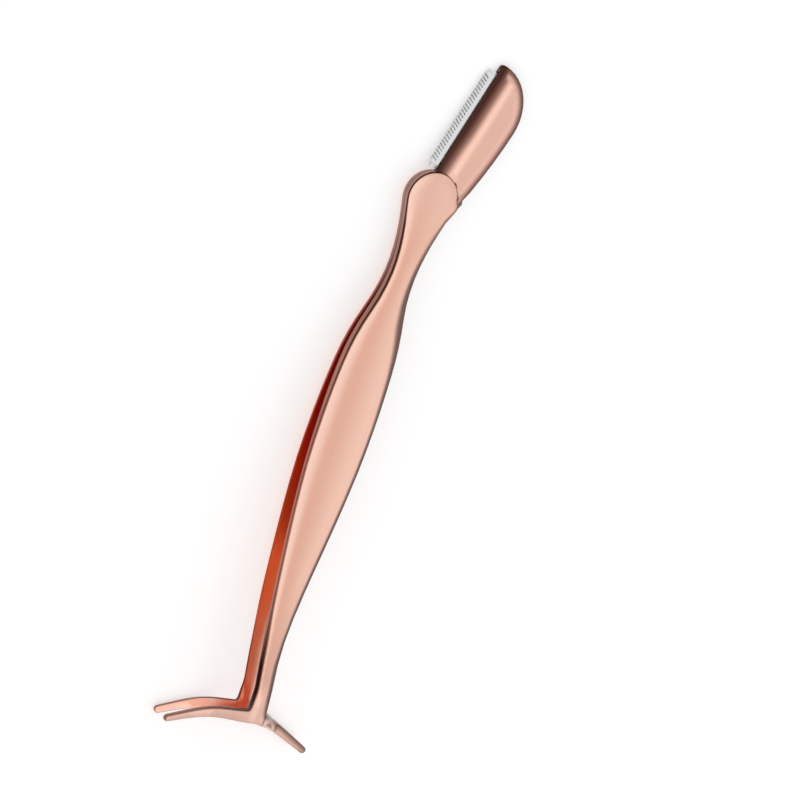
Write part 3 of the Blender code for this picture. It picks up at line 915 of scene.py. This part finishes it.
def make_cover():
    mesh = merged_copy("blade_cover", razor_frame, colours=("tint",))
    fences = {}
    for side in (1, -1):
        middle = broad_face(mesh, side)
        for vert in middle.verts:
            vert.co.z = side * COVER_HALF
        fences[side] = fence([edge for edge in middle.edges if is_back(edge)])
        inset_rings(mesh, middle, COVER_RINGS, even=False)
        grid_cuts(mesh, middle, COVER_GRID_ACROSS, COVER_STATIONS)
    tint = mesh.verts.layers.float_color["tint"]
    for vert in mesh.verts:
        x, y, z = vert.co
        side = 1 if z > 0 else -1
        gap = COVER_BEVEL + gap_to(fences[side], vert)
        from_blade = x - COVER_EDGE
        cad_roll = CAD_ROLL_DROP * max(1 - from_blade / CAD_ROLL_WIDTH, 0.0) ** 2
        below = COVER_HALF - cad_roll - abs(z)
        # The tint holds the cover's painted shade and highlights.
        if below < TOUCHING:
            vert.co.z = side * (COVER_HALF - max(face_drop(x, gap), cad_roll))
            vert[tint] = (*cover_tint(from_blade, gap, y), 1)
        elif from_blade < AT_BLADE:
            vert[tint] = (*COVER_SIDE, 1)
        else:
            vert[tint] = (*cover_tint(from_blade, COVER_BEVEL - below, y), 1)
        if vert.co.xy.length < SEAM_RADIUS and abs(z) > SLOT_HALF:
            vert.co.xy *= SEAM_DRAWN_IN / vert.co.xy.length
        else:
            vert.co.x -= FOOT_DRAWN_IN * (1 - past(y, FOOT_TOP)) * past(x, FOOT_SIDE)
    piece = put_in_place(mesh, "razor_cover_shell", razor_frame, plating("rose_gold_cover"))
    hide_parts("blade_cover")
    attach(piece, "head")


make_cover()

# %% [markdown]
# ## The blade and its guard
# The blade is a thin strip of ground steel. Over its edge sits a folded strip of bright steel with
# slanted slits, so that hair reaches the blade and skin doesn't. Both have the right shape in CAD
# already, down to each slit, so a merged copy with smooth shading and a steel of its own is enough.
# A value marks what lies near the cutting edge, and there the colour is darker, as painted shade: on
# the blade where it shows through the slits, and on the guard only the walls of the slits. It is
# kept on the corners of faces and not on the vertices, so that the painted shade on a wall doesn't
# run out onto the strip's flat face.

# %% Blade and guard
GROUND_EDGE = -4.22 * MM
SLIT_WALL = 0.5
LINE_SCALE = 7000.0
LINE_STRETCH = (1.0, 0.05, 1.0)
LINE_ROUGHNESS = 0.08
LINE_STRENGTH = 0.05
LINE_HEIGHT = 0.01 * MM
EDGE_LOW = 0.2
EDGE_HIGH = 0.8


def steel(name, bright, dark, edge_shade, roughness, metallic):
    material, shader, start = new_material(name)
    shader.inputs["Metallic"].default_value = metallic
    place = start.node("ShaderNodeTexCoord", out="Object")
    turned = start.node(
        "ShaderNodeMapping",
        {"vector_type": "POINT"},
        {"Vector": place, "Rotation": (0.0, 0.0, RAZOR_LEAN), "Scale": LINE_STRETCH},
    )
    lines = start.node(
        "ShaderNodeTexNoise", sockets={"Vector": turned, "Scale": LINE_SCALE, "Detail": 2.0}
    )
    colour = mix(start, lines, (*dark, 1.0), (*bright, 1.0))
    edge = step(start, attribute(start, "edge"), EDGE_LOW, EDGE_HIGH)
    # Painted shade near the cutting edge and in the slits.
    join(mix(start, edge, colour, (*edge_shade, 1.0)), shader, "Base Color")
    join(roughness + LINE_ROUGHNESS * lines, shader, "Roughness")
    heights = {"Strength": LINE_STRENGTH, "Distance": LINE_HEIGHT, "Height": lines}
    join(start.node("ShaderNodeBump", sockets=heights), shader, "Normal")
    print("steel:", name)
    return material


def make_steel(node, name, material, edge_width, walls_only=False):
    mesh = merged_copy(node, razor_frame)
    edge = mesh.loops.layers.float.new("edge")
    mesh.normal_update()
    for face in mesh.faces:
        counts = abs(face.normal.y) > SLIT_WALL or not walls_only
        for loop in face.loops:
            share = 1 - (loop.vert.co.x - GROUND_EDGE) / edge_width
            loop[edge] = min(max(share, 0.0), 1.0) * counts
    piece = put_in_place(mesh, name, razor_frame, material)
    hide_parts(node)
    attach(piece, "head")


ground_steel = steel(
    "ground_blade_steel",
    bright=(0.93, 0.93, 0.93),
    dark=(0.86, 0.86, 0.87),
    edge_shade=(0.75, 0.75, 0.76),
    roughness=0.25,
    metallic=0.4,
)
bright_steel = steel(
    "bright_guard_steel",
    bright=(0.96, 0.96, 0.96),
    dark=(0.9, 0.9, 0.9),
    edge_shade=(0.2, 0.2, 0.2),
    roughness=0.35,
    metallic=0.25,
)
make_steel("razor_blade", "blade_strip", ground_steel, 0.8 * MM)
make_steel("edge_guard", "guard_strip", bright_steel, 0.6 * MM, walls_only=True)

# %% [markdown]
# ## Floor, world and lights
# The photograph is a cut-out on white, so the floor is white paper. A little light of its own, seen
# only by the camera and in reflections, lifts it to white and leaves the soft shadow in place. The
# world is a plain white dome, which looks brighter to the camera and in reflections than the light
# that it gives. Two soft boxes stand where a polished face at this angle mirrors them, one overhead
# and one to the right, and draw the lighter bands along the arms.

# %% The floor
FLOOR_HALF = 3.0
FLOOR_BELOW = 0.02 * MM
PAPER_WHITE = 0.86
PAPER_GLOW = 0.44


def seen_directly(start):
    rays = [
        start.node("ShaderNodeLightPath", out=ray)
        for ray in ("Is Camera Ray", "Is Glossy Ray", "Is Transmission Ray")
    ]
    return rays[0] + rays[1] + rays[2]


def paper_floor():
    mesh = bmesh.new()
    bmesh.ops.create_grid(mesh, x_segments=1, y_segments=1, size=FLOOR_HALF)
    data = bpy.data.meshes.new("paper_floor")
    mesh.to_mesh(data)
    mesh.free()
    floor = bpy.data.objects.new("paper_floor", data)
    bpy.context.scene.collection.objects.link(floor)
    floor.location.z = -FLOOR_BELOW
    material = bpy.data.materials.new("white_paper")
    material.use_nodes = True
    tree = material.node_tree
    shader = tree.nodes["Principled BSDF"]
    shader.inputs["Base Color"].default_value = (PAPER_WHITE, PAPER_WHITE, PAPER_WHITE, 1)
    shader.inputs["Roughness"].default_value = 0.9
    shader.inputs["Specular IOR Level"].default_value = 0.0
    start = Wire(tree)
    bright = (PAPER_GLOW, PAPER_GLOW, PAPER_GLOW, 1.0)
    glow = mix(start, seen_directly(start), (0.0, 0.0, 0.0, 1.0), bright)
    join(glow, shader, "Emission Color")
    shader.inputs["Emission Strength"].default_value = 1.0
    data.materials.append(material)
    print("paper of", 2 * FLOOR_HALF, "m")


paper_floor()

# %% The world and the soft boxes
DOME_LIGHT = 0.62
DOME_SEEN = 0.92


def white_dome():
    world = bpy.data.worlds.new("white_dome")
    world.use_nodes = True
    bpy.context.scene.world = world
    tree = world.node_tree
    background = tree.nodes["Background"]
    strength = DOME_LIGHT + seen_directly(Wire(tree)) * (DOME_SEEN - DOME_LIGHT)
    tree.links.new(strength.socket, background.inputs["Strength"])
    background.inputs["Color"].default_value = (1, 1, 1, 1)


def soft_box(name, direction, distance, size, radiance):
    lamp = bpy.data.lights.new(name, "AREA")
    lamp.shape = "SQUARE"
    lamp.size = size
    lamp.energy = radiance * math.pi * size * size
    holder = bpy.data.objects.new(name, lamp)
    bpy.context.scene.collection.objects.link(holder)
    way = Vector(direction).normalized()
    holder.location = way * distance
    holder.rotation_euler = way.to_track_quat("Z", "Y").to_euler()
    print("soft box", name, "watts", round(lamp.energy, 3))


white_dome()
soft_box("overhead_box", (-0.02, -0.12, 0.99), distance=0.6, size=0.5, radiance=0.32)
soft_box("right_box", (0.69, -0.15, 0.72), distance=0.6, size=0.2, radiance=0.25)

# %% [markdown]
# A polished tool in an all-white room has no outline. Photographers of jewellery stand dark cards
# round it, just out of the picture, and the cards show as thin dark lines in every rounding. Here a
# ring of dark card stands on the paper, lower in front of the jaws, so that the horns stay light.
# Only reflections see it: it takes no light off the object.

# %% The dark cards
CARD_RING = 1.4
CARD_HEIGHT = 0.5
CARD_CUT_IN_FRONT = 0.85
FRONT_SHARES = (0.35, 0.85)
CARD_POSTS = 48


def dark_cards():
    mesh = bmesh.new()
    bmesh.ops.create_circle(mesh, segments=CARD_POSTS, radius=CARD_RING)
    made = bmesh.ops.extrude_edge_only(mesh, edges=mesh.edges[:])["geom"]
    for item in made:
        if isinstance(item, bmesh.types.BMVert):
            front = past(-item.co.y / CARD_RING, FRONT_SHARES)
            item.co.z = CARD_HEIGHT * (1 - CARD_CUT_IN_FRONT * front)
    data = bpy.data.meshes.new("dark_cards")
    mesh.to_mesh(data)
    mesh.free()
    cards = bpy.data.objects.new("dark_cards", data)
    bpy.context.scene.collection.objects.link(cards)
    material = bpy.data.materials.new("dark_card")
    material.use_nodes = True
    shader = material.node_tree.nodes["Principled BSDF"]
    shader.inputs["Base Color"].default_value = (0.12, 0.11, 0.11, 1)
    shader.inputs["Roughness"].default_value = 0.9
    data.materials.append(material)
    cards.visible_camera = False
    cards.visible_diffuse = False
    cards.visible_shadow = False
    print("card ring", 2 * CARD_RING, "m across")


dark_cards()

# %% [markdown]
# ## The camera
# The photograph was taken with a long lens from above the front arm, to the left of the tool. Its
# place was found by fitting the tool's own measured points to where they are seen, so it is written
# in the tool's frame: one direction towards the camera and one that is up in the picture. The fit
# also gives the pixel that the lens looks at. The camera is turned a little from there to the
# middle of the frame, so that no lens shift is needed.

# %% The camera
TOWARDS_CAMERA = Vector((-0.46431, 0.14781, 0.87325))
PICTURE_UP = Vector((-0.23455, 0.93025, -0.28217))
PICTURE_RIGHT = PICTURE_UP.cross(TOWARDS_CAMERA)
AIM = Vector((0, -47.28 * MM, 1.44 * MM))
CAMERA_DISTANCE = 961 * MM
FOCAL_PIXELS = 4901.96
PICTURE_WIDTH = 800
LENS_AXIS_PIXEL = (351.6, 425.4)

lens = bpy.data.cameras.new("photo_camera")
lens.sensor_width = 36.0
lens.lens = FOCAL_PIXELS * lens.sensor_width / PICTURE_WIDTH
lens.clip_start = 0.05
lens.clip_end = 20.0
camera = bpy.data.objects.new("photo_camera", lens)
bpy.context.scene.collection.objects.link(camera)
across_lens = (PICTURE_WIDTH / 2 - LENS_AXIS_PIXEL[0]) / FOCAL_PIXELS
up_lens = (LENS_AXIS_PIXEL[1] - PICTURE_WIDTH / 2) / FOCAL_PIXELS
backward = (TOWARDS_CAMERA - PICTURE_RIGHT * across_lens - PICTURE_UP * up_lens).normalized()
rightward = PICTURE_UP.cross(backward).normalized()
turn = Matrix((rightward, backward.cross(rightward), backward)).transposed().to_4x4()
turn.translation = AIM + TOWARDS_CAMERA * CAMERA_DISTANCE
camera.matrix_world = tool_frame @ turn
bpy.context.scene.camera = camera
bpy.context.scene.view_settings.view_transform = "Standard"
print("lens", round(lens.lens, 1), "mm")

# %% [markdown]
# ## Finish
# The view layer is brought up to date at the end. The visual model has to stay in the CAD model's
# box.

# %% Finish
bpy.context.view_layer.update()
